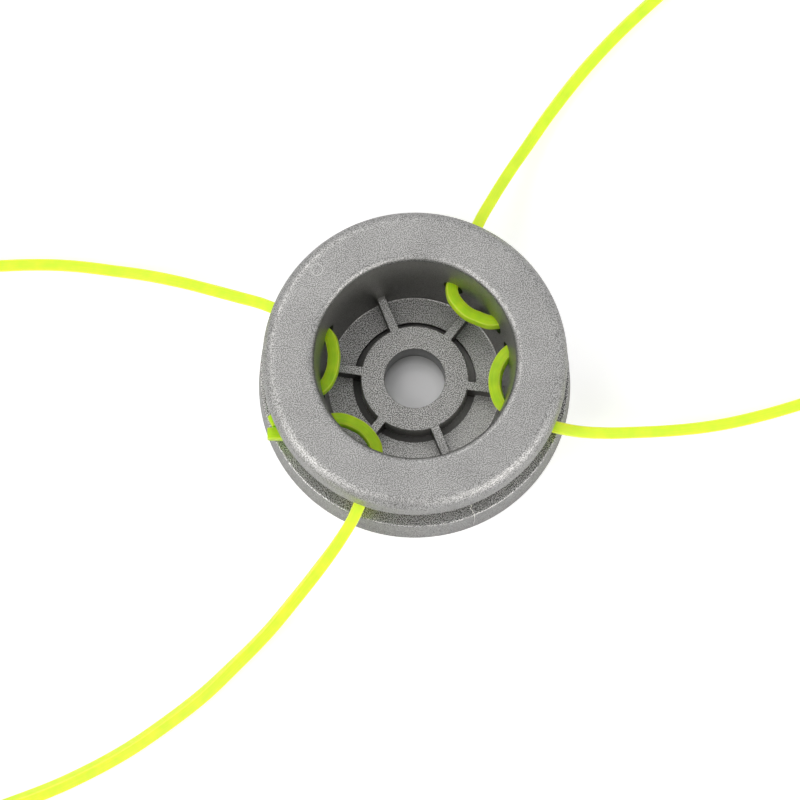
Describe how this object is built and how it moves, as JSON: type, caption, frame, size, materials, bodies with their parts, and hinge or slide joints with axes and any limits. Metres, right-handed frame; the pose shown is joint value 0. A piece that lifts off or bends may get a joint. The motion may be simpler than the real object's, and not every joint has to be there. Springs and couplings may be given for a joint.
{
  "type": "trimmer head",
  "caption": "Cast aluminium string trimmer head: a flanged spool with a ribbed cup round its centre bore and lengths of green nylon line looped through holes in its waist.",
  "frame": {"origin": "centre of the bore at the flat back face that the head stands on", "axes": "+Z along the bore axis, out of the cup's open mouth; +X to the picture's right, close to the line that leaves on that side"},
  "size_m": [0.3167, 0.251, 0.032],
  "materials": {
    "cast_aluminium": "as-cast",
    "nylon_line": "smooth"
  },
  "bodies": {
    "root": {"head_casting": "cast_aluminium", "line_left": "nylon_line", "line_back": "nylon_line", "line_right": "nylon_line", "line_front": "nylon_line"}
  },
  "joints": []
}
